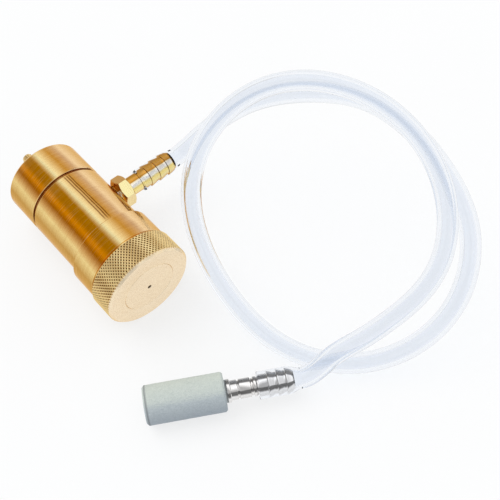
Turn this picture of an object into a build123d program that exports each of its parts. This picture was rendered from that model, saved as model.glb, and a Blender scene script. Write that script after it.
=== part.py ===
from build123d import *
import math
import os

# Carbon dioxide diffuser: a brass cylinder tap with a screw-down knob, a clear
# hose on two barbs and a porous stone. Millimetres.
# Frame: origin at the centre of the tap's inlet mouth, the tap's axis along Y
# with the knob towards -Y and the mouth facing +Y, the hose outlet towards +X,
# +Z up. The whole object rests on the plane z = -knurl_r.
# On the tap, a "depth" runs from the mouth towards the knob, so y = -depth.

os.makedirs("parts", exist_ok=True)

# ------------------------------------------------------- shared dimensions
# tap barrel
body_r = 14.0            # collar and main body
socket_len = 14.2        # collar, mouth to parting groove
groove_end = socket_len + 1.0
groove_r = 13.0          # bottom of the parting groove
groove_chamfer = 0.35    # on both edges of the parting groove
port_r = 10.0            # wall of the inlet thread
port_depth = 11.5        # threaded depth of the socket
spigot_r = 11.0          # socket spigot screwed into the main body
spigot_end = 19.6
spigot_groove_start, spigot_groove_end = 16.6, 18.4
neck_end = 56.0          # end of the threaded neck that carries the knob
ring_groove_start, ring_groove_end = 54.6, 55.4
gland_bore_r = 4.5       # packing bore in the neck
gland_bore_end = 40.5
gland_r = gland_bore_r - 0.05

# push pin
pin_tip = 11.0           # how far the pin stands out of the mouth
pin_r = 1.8
pin_bore_r = pin_r + 0.05
rod_r = 2.5
rod_bore_r = rod_r + 0.05
pin_shoulder = 28.8
pin_end = 57.1

# knob
knurl_r = 16.0
knob_face = 60.8
plug_r = 9.6
plug_inner = knob_face - 2.2   # depth of the plug's inner face
ball_r = 1.5

# outlet: x runs along its axis
outlet_y = -24.0
outlet_thread_r = 3.95
outlet_seat = 7.4        # bottom of the threaded hole
fitting_start = 8.42
pocket_r = 2.4           # pocket for the filter and restrictor
insert_r = pocket_r - 0.02
barb_crest_r = 3.3

# stone and stem
stone_r = 6.35
stone_len = 25.4
stone_tilt = math.radians(1.3)      # the stem end is held up by the hose
stone_turn = math.radians(-30.84)   # heading of the stem seen from above
stone_x, stone_y = -13.96, -95.29
stem_crest_r = 3.55

overlap = 0.01           # how far cutters overrun a face

# ------------------------------------------------------------------ frames
outlet_axis = Axis((0, outlet_y, 0), (1, 0, 0))
# local X runs along the outlet, local Y is the radius
outlet_plane = Plane(origin=(0, outlet_y, 0), x_dir=(1, 0, 0), z_dir=(0, 0, 1))

stone_z = -knurl_r + stone_r * math.cos(stone_tilt) + stone_len / 2 * math.sin(stone_tilt)
stone_centre = Vector(stone_x, stone_y, stone_z)
stem_dir = Vector(
    math.cos(stone_turn) * math.cos(stone_tilt),
    math.sin(stone_turn) * math.cos(stone_tilt),
    math.sin(stone_tilt),
)
side_dir = Vector(-math.sin(stone_turn), math.cos(stone_turn), 0)
# local X runs along the stem, local Y points sideways
stone_plane = Plane(origin=stone_centre, x_dir=stem_dir, z_dir=stem_dir.cross(side_dir))
stone_axis = Axis(stone_centre, stem_dir)


# ----------------------------------------------------------------- helpers
def save(part, name):
    part.label = name
    export_step(part, f"parts/{name}.step")


def on_tap(*stations):
    """Sketch points on the XY plane from (radius, depth) stations on the tap."""
    return [(radius, -depth) for radius, depth in stations]


def across_tap(depth):
    """Plane square to the tap's axis, its normal towards the knob."""
    return Plane.XZ.offset(depth)


def across_outlet(x):
    """Plane square to the outlet's axis, centred on it, its normal towards +X."""
    return Plane(origin=(x, outlet_y, 0), x_dir=(0, 1, 0), z_dir=(1, 0, 0))


def turned(outline, plane=Plane.XY, axis=Axis.Y):
    """Solid of revolution from a closed outline."""
    with BuildPart() as solid:
        with BuildSketch(plane):
            with BuildLine():
                Polyline(*outline, close=True)
            make_face()
        revolve(axis=axis)
    return solid.part


def o_ring(mean_r, depth, section_r):
    with BuildPart() as ring:
        with BuildSketch(Plane.XY):
            with Locations((mean_r, -depth)):
                Circle(section_r)
        revolve(axis=Axis.Y)
    return ring.part


def disc(plane, outer_r, thickness, hole_r=None):
    """Flat disc, with a central hole if hole_r is given."""
    with BuildPart() as plate:
        with BuildSketch(plane):
            Circle(outer_r)
            if hole_r:
                Circle(hole_r, mode=Mode.SUBTRACT)
        extrude(amount=thickness)
    return plate.part


def barb_points(rings, root_r, crest_r, slope_len):
    """Ridges whose steep side faces the start of the barb.

    The foot of the last slope is left to the caller's next point.
    """
    points = []
    for ring in rings:
        points += [
            (ring - 0.35, root_r), (ring - 0.3, crest_r),
            (ring, crest_r), (ring + slope_len, root_r),
        ]
    return points[:-1]


# ------------------------------------------------------------ inlet socket
rim_chamfer = 0.7
mouth_chamfer = 0.9
spigot_groove_r = 9.4

with BuildPart() as inlet_socket:
    with BuildSketch(Plane.XY):
        with BuildLine():
            Polyline(*on_tap(
                (port_r, 0), (body_r - rim_chamfer, 0), (body_r, rim_chamfer),
                (body_r, socket_len - groove_chamfer), (body_r - groove_chamfer, socket_len),
                (groove_r, socket_len), (groove_r, groove_end),
                (spigot_r, groove_end), (spigot_r, spigot_groove_start),
                (spigot_groove_r, spigot_groove_start), (spigot_groove_r, spigot_groove_end),
                (spigot_r, spigot_groove_end),
                (spigot_r, spigot_end - 0.3), (spigot_r - 0.3, spigot_end),
                (pin_bore_r, spigot_end), (pin_bore_r, port_depth), (port_r, port_depth),
            ), close=True)
        make_face()
    revolve(axis=Axis.Y)
    # lead-in chamfer of the mouth
    with BuildSketch(Plane.XY):
        with BuildLine():
            Polyline(*on_tap(
                (port_r - overlap, -overlap), (port_r + mouth_chamfer, -overlap),
                (port_r - overlap, mouth_chamfer),
            ), close=True)
        make_face()
    revolve(axis=Axis.Y, mode=Mode.SUBTRACT)
save(inlet_socket.part, "inlet_socket")

# flat washer the cylinder neck seals on; it stands on the socket floor, towards the mouth
save(disc(across_tap(port_depth), outer_r=9.7, thickness=-1.5, hole_r=3.2), "socket_gasket")

# O-ring in the spigot groove
spigot_seal_depth = (spigot_groove_start + spigot_groove_end) / 2
save(o_ring(mean_r=10.22, depth=spigot_seal_depth, section_r=0.8), "spigot_seal")

# ------------------------------------------------------------- valve body
body_end = 46.2          # shoulder where the barrel stops inside the knob
body_bore_r = spigot_r + 0.05
chamber_r = 6.0          # gas chamber
chamber_end = 30.2
neck_r = 8.0
ring_groove_r = 7.3
outlet_hole_r = 4.0
outlet_hole_len = 8.0
gas_way_r = 1.3
gas_way_start = 4.0
gas_way_len = 5.0

with BuildPart() as valve_body:
    with BuildSketch(Plane.XY):
        with BuildLine():
            Polyline(*on_tap(
                (body_bore_r, groove_end), (body_r - groove_chamfer, groove_end),
                (body_r, groove_end + groove_chamfer),
                (body_r, body_end - 0.5), (body_r - 0.5, body_end),
                (neck_r, body_end), (neck_r, ring_groove_start),
                (ring_groove_r, ring_groove_start), (ring_groove_r, ring_groove_end),
                (neck_r, ring_groove_end),
                (neck_r, neck_end - 0.4), (neck_r - 0.4, neck_end),
                (gland_bore_r, neck_end), (gland_bore_r, gland_bore_end),
                (rod_bore_r, gland_bore_end), (rod_bore_r, chamber_end),
                (chamber_r, chamber_end), (chamber_r, spigot_end),
                (body_bore_r, spigot_end),
            ), close=True)
        make_face()
    revolve(axis=Axis.Y)
    # outlet port: threaded hole, then the gas way into the chamber
    with BuildSketch(across_outlet(outlet_seat)):
        Circle(outlet_hole_r)
    extrude(amount=outlet_hole_len, mode=Mode.SUBTRACT)
    with BuildSketch(across_outlet(gas_way_start)):
        Circle(gas_way_r)
    extrude(amount=gas_way_len, mode=Mode.SUBTRACT)
save(valve_body.part, "valve_body")

# ---------------------------------------------------- packing in the neck
pin_seal_mean_r = (rod_r + gland_bore_r) / 2
pin_seal_section_r = 0.98
for seal_name, seal_depth in (("pin_seal_front", 41.5), ("pin_seal_rear", 44.78)):
    save(o_ring(pin_seal_mean_r, seal_depth, pin_seal_section_r), seal_name)

save(disc(across_tap(42.55), outer_r=gland_r, thickness=1.2, hole_r=rod_bore_r), "seal_spacer")

# gland nut, slotted for a pin spanner
gland_start, gland_end = 45.85, 55.5
gland_chamfer = 0.3
slot_len, slot_w, slot_depth = 12, 1.2, 1.0

with BuildPart() as gland_nut:
    with BuildSketch(Plane.XY):
        with BuildLine():
            Polyline(*on_tap(
                (rod_bore_r, gland_start), (gland_r, gland_start),
                (gland_r, gland_end - gland_chamfer), (gland_r - gland_chamfer, gland_end),
                (rod_bore_r, gland_end),
            ), close=True)
        make_face()
    revolve(axis=Axis.Y)
    with BuildSketch(across_tap(gland_end - slot_depth)):
        Rectangle(slot_len, slot_w)
    extrude(amount=2 * slot_depth, mode=Mode.SUBTRACT)
save(gland_nut.part, "gland_nut")

# retaining ring that keeps the knob captive, open at the bottom between two eyes
stop_ring_r = 9.2
stop_ring_bore_r = 7.35
stop_ring_t = 0.7
gap_w, gap_h, gap_z = 2.6, 4.0, -8.5
eye_r, eye_hole_r = 0.9, 0.45
eye_places = ((2.1, -8.3), (-2.1, -8.3))

with BuildPart() as stop_ring:
    with BuildSketch(across_tap(ring_groove_start + 0.05)):
        Circle(stop_ring_r)
        Circle(stop_ring_bore_r, mode=Mode.SUBTRACT)
        with Locations((0, gap_z)):
            Rectangle(gap_w, gap_h, mode=Mode.SUBTRACT)
        with Locations(*eye_places):
            Circle(eye_r)
        with Locations(*eye_places):
            Circle(eye_hole_r, mode=Mode.SUBTRACT)
    extrude(amount=stop_ring_t)
save(stop_ring.part, "stop_ring")

# ---------------------------------------------------------------- push pin
tip_chamfer = 0.35
ball_pocket_r = ball_r + 0.02
ball_pocket_floor = pin_end - 1.52
flute_count = 8
flute_r = 0.42
flute_end = spigot_end + 1.5

with BuildPart() as push_pin:
    with BuildSketch(Plane.XY):
        with BuildLine():
            Polyline(*on_tap(
                (0, -pin_tip), (pin_r - tip_chamfer, -pin_tip), (pin_r, tip_chamfer - pin_tip),
                (pin_r, pin_shoulder), (rod_r, pin_shoulder),
                (rod_r, pin_end - 0.3), (rod_r - 0.3, pin_end),
                (ball_pocket_r, pin_end), (ball_pocket_r, ball_pocket_floor),
                (0, ball_pocket_floor),
            ), close=True)
        make_face()
    revolve(axis=Axis.Y)
    # gas flutes along the front of the pin
    with BuildSketch(across_tap(-pin_tip)):
        with PolarLocations(pin_r + 0.1, flute_count):
            Circle(flute_r)
    extrude(amount=pin_tip + flute_end, mode=Mode.SUBTRACT)
save(push_pin.part, "push_pin")

# washer the return spring bears on
seat_t = 0.8
seat_depth = pin_shoulder - seat_t
save(disc(across_tap(seat_depth), outer_r=4.6, thickness=seat_t, hole_r=pin_r + 0.03),
     "spring_seat")

# return spring in the gas chamber
wire_r = 0.35
coil_start = seat_depth - wire_r - 0.03

with BuildPart() as return_spring:
    with BuildLine() as coil:
        Helix(pitch=1.9, height=7.6, radius=3.7, center=(0, -coil_start, 0), direction=(0, 1, 0))
    with BuildSketch(Plane(origin=coil.line @ 0, z_dir=coil.line % 0)):
        Circle(wire_r)
    sweep(path=coil.line, is_frenet=True)
save(return_spring.part, "return_spring")

# ball between the turning knob and the pin
with BuildPart() as thrust_ball:
    with BuildSketch(Plane.XY):
        with BuildLine():
            CenterArc((0, -(plug_inner - ball_r)), ball_r, -90, 180)
            Line((0, -(plug_inner - 2 * ball_r)), (0, -plug_inner))
        make_face()
    revolve(axis=Axis.Y)
save(thrust_ball.part, "thrust_ball")

# -------------------------------------------------------------------- knob
skirt_r = 15.4
skirt_step_r = skirt_r - 0.3   # mouth chamfer and the groove beside the knurl
skirt_start = 39.9
skirt_bore_r = 14.1
knurl_start = 51.2
web_front, web_rear = 48.9, 54.5
knob_thread_r = 8.06

save(turned(on_tap(
    (skirt_bore_r, skirt_start), (skirt_step_r, skirt_start), (skirt_r, skirt_start + 0.3),
    (skirt_r, knurl_start - 0.75), (skirt_step_r, knurl_start - 0.6),
    (skirt_step_r, knurl_start - 0.35), (knurl_r, knurl_start + 0.1),
    (knurl_r, knob_face - 0.9), (knurl_r - 0.8, knob_face),
    (plug_r, knob_face), (plug_r, web_rear),
    (knob_thread_r, web_rear), (knob_thread_r, web_front), (skirt_bore_r, web_front),
)), "knob_grip")

dimple_r, dimple_depth = 0.75, 0.7

save(turned(on_tap(
    (0, plug_inner), (plug_r, plug_inner),
    (plug_r, knob_face - 0.08), (plug_r - 0.1, knob_face),
    (dimple_r, knob_face), (0, knob_face - dimple_depth),
)), "knob_plug")

# --------------------------------------------------------- outlet fitting
save(disc(across_outlet(outlet_seat + 0.02), outer_r=outlet_thread_r - 0.05,
          thickness=0.98, hole_r=2.0), "outlet_seal")

hex_start, hex_end = 14.9, 18.9
hex_af = 10.0            # across flats
hex_corner_r = hex_af / math.sqrt(3)
hex_turn = 2.7           # how far the hexagon stopped past the vertical, degrees
hex_cutter_r = 7.5
corner_cut = 0.75        # axial length of the corner chamfers
corner_cut_r = 6.2
thread_start_chamfer = 0.3
thread_grooves = (13.0, 13.75)   # turns that show between the barrel and the hexagon
thread_groove_w, thread_groove_depth = 0.64, 0.42
neck_fit_r = 3.3
neck_fit_end = 23.6
neck_fit_chamfer = 0.25
barb_root_r = 2.9
barb_rings = (27.4, 31.2, 35.0)
barb_end = 38.0
pocket_end = 12.0
gas_bore_r = 1.25

# (x, radius)
barb_outline = [
    (fitting_start, pocket_r), (fitting_start, outlet_thread_r - thread_start_chamfer),
    (fitting_start + thread_start_chamfer, outlet_thread_r),
]
for x in thread_grooves:
    barb_outline += [
        (x, outlet_thread_r),
        (x + thread_groove_w / 2, outlet_thread_r - thread_groove_depth),
        (x + thread_groove_w, outlet_thread_r),
    ]
barb_outline += [
    (hex_start, outlet_thread_r), (hex_start, hex_corner_r),
    (hex_end, hex_corner_r), (hex_end, neck_fit_r),
    (neck_fit_end - neck_fit_chamfer, neck_fit_r), (neck_fit_end, neck_fit_r - neck_fit_chamfer),
    (neck_fit_end, barb_root_r),
    *barb_points(barb_rings, barb_root_r, barb_crest_r, slope_len=2.2),
    (37.0, barb_root_r), (barb_end, 2.4),
    (barb_end, gas_bore_r), (pocket_end, gas_bore_r), (pocket_end, pocket_r),
]

with BuildPart() as outlet_barb:
    with BuildSketch(outlet_plane):
        with BuildLine():
            Polyline(*barb_outline, close=True)
        make_face()
    revolve(axis=outlet_axis)
    # six flats
    with BuildSketch(across_outlet(hex_start)):
        Circle(hex_cutter_r)
        RegularPolygon(radius=hex_af / 2, side_count=6, major_radius=False,
                       rotation=30 + hex_turn, mode=Mode.SUBTRACT)
    extrude(amount=hex_end - hex_start, mode=Mode.SUBTRACT)
    # corners turned off on both sides: hexagon face, its outward sense, inset from the flats
    with BuildSketch(outlet_plane):
        for face_x, outward, inset in ((hex_end, 1, 0.1), (hex_start, -1, 0.15)):
            with BuildLine():
                Polyline(
                    (face_x + outward * overlap, hex_af / 2 - inset),
                    (face_x + outward * overlap, corner_cut_r),
                    (face_x - outward * corner_cut, corner_cut_r), close=True,
                )
            make_face()
    revolve(axis=outlet_axis, mode=Mode.SUBTRACT)
save(outlet_barb.part, "outlet_barb")

# sintered filter and flow restrictor pressed in the end of the fitting
save(disc(across_outlet(8.5), outer_r=insert_r, thickness=1.4), "filter_disc")
save(disc(across_outlet(9.95), outer_r=insert_r, thickness=2.0, hole_r=0.15), "flow_restrictor")

# ---------------------------------------------------------- stone and stem
half = stone_len / 2
socket_r = 2.5           # stem socket in the stone
socket_floor = half - 6.0
stone_bore_r = 1.6       # narrower bore beyond the socket
stone_bore_end = 5.0 - half

# outlines from here on: (distance from the stone's centre along the stem, radius)
save(turned([
    (-half, 0), (-half, stone_r - 0.7), (-half + 0.7, stone_r),
    (half - 0.55, stone_r), (half, stone_r - 0.55), (half, socket_r),
    (socket_floor, socket_r), (socket_floor, stone_bore_r),
    (stone_bore_end, stone_bore_r), (stone_bore_end, 0),
], stone_plane, stone_axis), "diffuser_stone")

flange_r = 3.6           # washer, and the stem flange at its chamfers
washer_start, washer_end = half + 0.01, half + 0.45

save(turned([
    (washer_start, socket_r), (washer_start, flange_r),
    (washer_end, flange_r), (washer_end, socket_r),
], stone_plane, stone_axis), "stem_washer")

stem_r = 3.2
stem_bore_r = 1.2
stem_plug_r = 2.45       # the part inside the stone
stem_start = half - 5.6
stem_end = 34.6
flange_start = half + 0.46
stem_root_r = stem_r - 0.25
stem_rings = (26.7, 29.7, 32.5)

save(turned([
    (stem_start, stem_bore_r), (stem_start, 2.1), (stem_start + 0.3, stem_plug_r),
    (flange_start, stem_plug_r), (flange_start, flange_r),
    (flange_start + 0.2, flange_r + 0.2), (14.3, flange_r + 0.2), (14.5, flange_r),
    (14.5, stem_r),
    # two grooves round the stem
    (16.6, stem_r), (16.8, stem_r - 0.35), (17.1, stem_r - 0.35), (17.3, stem_r),
    (20.8, stem_r), (21.0, stem_r - 0.45), (21.6, stem_r - 0.45), (21.8, stem_r),
    # barb
    (22.6, stem_r), (22.9, stem_root_r), (23.1, stem_root_r),
    *barb_points(stem_rings, stem_root_r, stem_crest_r, slope_len=1.7),
    (33.6, stem_r - 0.1), (stem_end, 2.5), (stem_end, stem_bore_r),
], stone_plane, stone_axis), "stone_stem")

# -------------------------------------------------------------------- hose
hose_r = 3.4
hose_bore_r = 2.0
hose_start = 24.0        # x of the end on the brass barb
bend_start = 39.5        # x where the free run begins
hose_on_barb_r = 4.15
hose_on_stem_r = 4.5
hose_end_d = 23.2        # end on the stem, from the stone's centre
hose_stem_d = 37.0       # where the free run ends, from the stone's centre
joint_tolerance = 0.05

# centreline (x, y, z) between the two stretched ends, about one and a half turns
hose_points = [
    (49.82, -25.18, 4.21), (58.08, -28.52, 10.79), (65.33, -33.86, 17.45),
    (72.36, -40.89, 22.54), (79.26, -49.08, 25.87), (86.00, -57.92, 27.45),
    (91.43, -67.58, 27.13), (94.30, -78.21, 25.27), (94.82, -89.15, 22.97),
    (93.27, -99.99, 20.57), (89.92, -110.42, 18.22), (84.59, -119.77, 15.45),
    (77.14, -127.12, 11.51), (68.33, -131.62, 6.31), (58.92, -132.67, 0.47),
    (49.51, -130.40, -5.09), (40.56, -125.37, -9.40), (32.58, -118.08, -12.00),
    (26.17, -109.00, -12.55), (21.84, -98.77, -11.45), (19.63, -88.24, -8.60),
    (19.13, -77.91, -4.50), (19.94, -68.08, 0.60), (22.19, -58.99, 6.77),
    (26.24, -51.24, 13.71), (32.47, -45.71, 21.10), (40.61, -42.97, 28.23),
    (49.99, -43.22, 34.29), (59.80, -46.34, 38.63), (69.11, -52.06, 40.76),
    (77.10, -59.88, 40.70), (83.20, -69.11, 39.04), (87.08, -79.15, 36.15),
    (88.54, -89.49, 32.24), (87.42, -99.58, 27.50), (83.77, -108.72, 22.12),
    (77.82, -116.07, 16.22), (69.81, -120.79, 10.12), (60.06, -122.17, 4.95),
    (49.73, -121.07, 0.76), (39.25, -118.88, -2.53), (28.82, -116.31, -5.58),
]

# free run, tangent to both barbs
with BuildLine() as run:
    Spline((bend_start, outlet_y, 0), *hose_points, stone_centre + stem_dir * hose_stem_d,
           tangents=((1, 0, 0), stem_dir * -1), tangent_scalars=(1, 1))
run_path = run.wires()[0]
run_start, run_end = run_path @ 0, run_path @ 1
run_plane = Plane(origin=run_start, x_dir=(0, 1, 0), z_dir=run_path % 0)


def swept_run(radius):
    with BuildPart() as rod:
        with BuildSketch(run_plane):
            Circle(radius)
        sweep(path=run_path)
    return rod.part


def side_faces(rod):
    """Faces of a swept run without its flat ends."""
    return rod.faces().filter_by(GeomType.PLANE, reverse=True)


def sleeve_faces(sleeve, joint):
    """Faces of a stretched end without the ring that meets the run."""
    return sleeve.faces().sort_by_distance(joint).filter_by(
        lambda face: (face.center() - joint).length > joint_tolerance)


run_outside = swept_run(hose_r)
run_inside = swept_run(hose_bore_r)

# stretched over the brass barb
head_sleeve = turned([
    (hose_start, barb_crest_r), (hose_start, hose_on_barb_r - 0.25),
    (hose_start + 0.35, hose_on_barb_r), (35.4, hose_on_barb_r),
    (bend_start, hose_r), (bend_start, hose_bore_r), (36.2, barb_crest_r),
], outlet_plane, outlet_axis)

# stretched over the steel barb; its profile stands in the plane of the run's seam
seam = Vector(*run_outside.vertices().sort_by_distance(run_end)[0])
sleeve_plane = Plane(origin=stone_centre, x_dir=stem_dir, z_dir=stem_dir.cross(seam - run_end))
stone_sleeve = turned([
    (hose_end_d, stem_crest_r), (hose_end_d, hose_on_stem_r - 0.6),
    (hose_end_d + 0.7, hose_on_stem_r), (32.6, hose_on_stem_r),
    (hose_stem_d, hose_r), (hose_stem_d, hose_bore_r), (33.0, stem_crest_r),
], sleeve_plane, stone_axis)

# one closed skin: the run and both stretched ends
skin = (
    side_faces(run_outside)
    + side_faces(run_inside)
    + sleeve_faces(head_sleeve, run_start)
    + sleeve_faces(stone_sleeve, run_end)
)
with BuildPart() as air_hose:
    add(Solid(Shell(skin)))
save(air_hose.part, "air_hose")
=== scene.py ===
# A brass push tap with a clear air hose, a steel stem and a sintered stone, on a white table.
# The tap is turned round the Y axis: its mouth is at y = 0 and its knob ends at y = -60.8 mm.
# The outlet points along +X. The hose loops from it to the stem, and the stone lies on the table.
import bpy
import bmesh
import math
import numpy as np
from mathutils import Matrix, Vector, noise


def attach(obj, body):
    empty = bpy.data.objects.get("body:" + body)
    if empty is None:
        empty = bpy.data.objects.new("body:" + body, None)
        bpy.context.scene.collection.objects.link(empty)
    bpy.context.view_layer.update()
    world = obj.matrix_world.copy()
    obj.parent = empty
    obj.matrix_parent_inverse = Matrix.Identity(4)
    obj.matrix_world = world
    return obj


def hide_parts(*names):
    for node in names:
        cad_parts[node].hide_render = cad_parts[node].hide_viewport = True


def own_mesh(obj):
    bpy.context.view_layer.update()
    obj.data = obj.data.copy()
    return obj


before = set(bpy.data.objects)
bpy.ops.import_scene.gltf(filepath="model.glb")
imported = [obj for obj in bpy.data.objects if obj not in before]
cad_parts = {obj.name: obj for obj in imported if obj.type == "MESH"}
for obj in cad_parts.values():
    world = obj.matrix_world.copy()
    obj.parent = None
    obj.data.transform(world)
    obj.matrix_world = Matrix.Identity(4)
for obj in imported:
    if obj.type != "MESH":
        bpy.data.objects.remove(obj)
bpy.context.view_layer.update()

MM = 0.001
TAU = 2 * math.pi

# =====================================================================
# driving dimensions, in millimetres
# =====================================================================
BODY_R = 14.0
COLLAR_END = -14.2                  # y where the collar meets the parting groove
BARREL_START = COLLAR_END - 1.0     # y of the groove's other side
JOINT_Y = -19.6                     # y where the collar's spigot ends in the barrel
BARREL_END = -46.2
PORT_R, PORT_ROOT, PORT_PITCH = 10.0, 10.85, 1.814
NECK_R, NECK_PITCH, NECK_CUT = 8.0, 1.25, 0.62
THREAD_STEPS = 14                   # outline points per turn of the port and neck threads
SKIRT_R, KNURL_R, KNOB_LEN = 15.4, 16.0, 60.8
OUTLET_Y = -24.0
BRASS_CRESTS = (27.4, 31.2, 35.0)   # x of the barb rings on the outlet
STEEL_CRESTS = (26.7, 29.7, 32.5)   # barb rings on the stem, from the stone's centre
FLOOR_Z = -16.0
STONE_R, STONE_HALF = 6.35, 12.7

# the stone touches the table on one edge, and its axis rises towards the stem
TILT, TURN = math.radians(1.3), math.radians(-30.84)
STONE_C = np.array([-13.96, -95.29,
                    FLOOR_Z + STONE_R * math.cos(TILT) + STONE_HALF * math.sin(TILT)])
STEM_DIR = np.array([math.cos(TURN) * math.cos(TILT), math.sin(TURN) * math.cos(TILT),
                     math.sin(TILT)])
STEM_SIDE = np.array([-math.sin(TURN), math.cos(TURN), 0.0])

ORIGIN, X_AXIS, Y_AXIS, UP = (0, 0, 0), (1, 0, 0), (0, 1, 0), (0, 0, 1)
OUTLET_ORIGIN = (0, OUTLET_Y, 0)


# =====================================================================
# outlines: lists of (axial, radius) points
# =====================================================================
def unit(vector):
    vector = np.asarray(vector, float)
    return vector / np.linalg.norm(vector)


def soft(outline, radius=0.12, steps=3, closed=True):
    """Rounds the corners of an outline that bend by 14 degrees or more."""
    points = [np.array(p, float) for p in outline]
    out, count = [], len(points)
    for i, p in enumerate(points):
        if not closed and i in (0, count - 1):
            out.append(tuple(p))
            continue
        before, after = points[i - 1] - p, points[(i + 1) % count] - p
        len_before, len_after = np.linalg.norm(before), np.linalg.norm(after)
        if len_before < 1e-6 or len_after < 1e-6:
            out.append(tuple(p))
            continue
        cosine = max(-1, min(1, float(before @ after) / (len_before * len_after)))
        if 180 - math.degrees(math.acos(cosine)) < 14:
            out.append(tuple(p))
            continue
        reach = min(radius, 0.36 * len_before, 0.36 * len_after)
        start = p + before / len_before * reach
        end = p + after / len_after * reach
        for k in range(steps + 1):
            s = k / steps
            q = start * (1 - s) ** 2 + p * 2 * s * (1 - s) + end * s * s
            out.append((float(q[0]), max(0.0, float(q[1]))))
    return out


def ramped(a0, a1, r0, r1, count):
    """Evenly spaced points from (a0, r0) to (a1, r1)."""
    return [(a0 + (a1 - a0) * k / count, r0 + (r1 - r0) * k / count) for k in range(count + 1)]


def stepped(start, stop, step, radius):
    """Points at one radius, from start by a fixed step, up to but not past stop."""
    points, position = [], start
    while (stop - position) * step > 0:
        points.append((position, radius))
        position += step
    return points


def barbs(crests, root, crest, lead, flat, run):
    """Barb rings: a steep lead, a flat crest and a long run back to the root radius."""
    points = []
    for c in crests:
        points += [(c - lead, root), (c - flat, crest), (c, crest), (c + run, root)]
    return points[:-1]


def vee(turns):
    """Thread form: 0 on the crest, 1 in the root, once per turn."""
    flat = 0.12
    rise = 1 - np.abs(2 * (turns - np.floor(turns)) - 1)
    return np.clip((rise - flat) / (1 - 2 * flat), 0, 1)


# =====================================================================
# mesh tools
# =====================================================================
def lathe(outline, origin, axis, zero, sides, shape=None, closed=True, diagonal=None):
    """Turns an outline round an axis, with angle 0 towards zero.

    shape(axial, radius, angles) may move each ring. diagonal(i, k) may split a quad:
    True and False pick a diagonal, None leaves it whole.
    """
    origin, axis, zero = np.asarray(origin, float), unit(axis), np.asarray(zero, float)
    across = unit(zero - axis * (zero @ axis))
    third = np.cross(axis, across)
    angles = np.arange(sides) * TAU / sides
    spokes = np.cos(angles)[:, None] * across + np.sin(angles)[:, None] * third
    verts, rows, count = [], [], 0
    for a, r in outline:
        if r < 1e-6:
            verts.append((origin + axis * a)[None])
            rows.append([count])
            count += 1
            continue
        axial, radius = np.full(sides, a), np.full(sides, r)
        if shape:
            axial, radius = shape(axial, radius, angles)
        verts.append(origin + axial[:, None] * axis + radius[:, None] * spokes)
        rows.append(list(range(count, count + sides)))
        count += sides
    faces = []
    total = len(outline)
    for i in range(total if closed else total - 1):
        A, B = rows[i], rows[(i + 1) % total]
        if len(A) == 1 and len(B) == 1:
            continue
        for k in range(sides):
            k1 = (k + 1) % sides
            if len(A) == 1:
                faces.append((A[0], B[k], B[k1]))
                continue
            if len(B) == 1:
                faces.append((A[k], B[0], A[k1]))
                continue
            choice = diagonal(i, k) if diagonal else None
            if choice is None:
                faces.append((A[k], B[k], B[k1], A[k1]))
            elif choice:
                faces += [(A[k], B[k], B[k1]), (A[k], B[k1], A[k1])]
            else:
                faces += [(A[k], B[k], A[k1]), (B[k], B[k1], A[k1])]
    return np.concatenate(verts), faces


def tube_faces(rows, sides, loop=False):
    """Quads between neighbouring rings, and from the last to the first if it loops."""
    faces = []
    for i in range(rows if loop else rows - 1):
        a, b = i * sides, ((i + 1) % rows) * sides
        for k in range(sides):
            k1 = (k + 1) % sides
            faces.append((a + k, a + k1, b + k1, b + k))
    return faces


def linked_object(name, shape):
    """An object in the scene from (verts in mm, faces), with its normals outwards."""
    verts, faces = shape
    mesh = bpy.data.meshes.new(name)
    mesh.from_pydata((np.asarray(verts) * MM).tolist(), [], faces)
    bm = bmesh.new()
    bm.from_mesh(mesh)
    bmesh.ops.recalc_face_normals(bm, faces=bm.faces)
    bm.to_mesh(mesh)
    bm.free()
    ob = bpy.data.objects.new(name, mesh)
    bpy.context.scene.collection.objects.link(ob)
    return ob


def shade_smooth(mesh, angle):
    mesh.polygons.foreach_set("use_smooth", np.ones(len(mesh.polygons), dtype=bool))
    mesh.set_sharp_from_angle(angle=math.radians(angle))


def piece(name, shape, materials, body, source, angle=30, pick=None):
    """A finished piece in place of a CAD one. pick gives material indices by face centre."""
    ob = linked_object(name, shape)
    mesh = ob.data
    for mat in materials:
        mesh.materials.append(mat)
    if pick:
        count = len(mesh.polygons)
        centres = np.empty(count * 3)
        mesh.polygons.foreach_get("center", centres)
        indices = np.asarray(pick(centres.reshape(count, 3) * 1000), dtype=np.int32)
        mesh.polygons.foreach_set("material_index", indices)
    shade_smooth(mesh, angle)
    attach(ob, body)
    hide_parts(source)
    return ob


def carve(ob, shape):
    """Cuts a closed shape out of a piece and keeps the result as its mesh."""
    cutter = linked_object("cutter", shape)
    cut = ob.modifiers.new("cut", "BOOLEAN")
    cut.operation, cut.solver, cut.object = "DIFFERENCE", "EXACT", cutter
    bpy.context.view_layer.update()
    graph = bpy.context.evaluated_depsgraph_get()
    mesh = bpy.data.meshes.new_from_object(ob.evaluated_get(graph), depsgraph=graph)
    ob.modifiers.clear()
    old = ob.data
    ob.data = mesh
    mesh.name = old.name + "_cut"
    bpy.data.meshes.remove(old)
    bpy.data.objects.remove(cutter)
    shade_smooth(mesh, 30)


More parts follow.
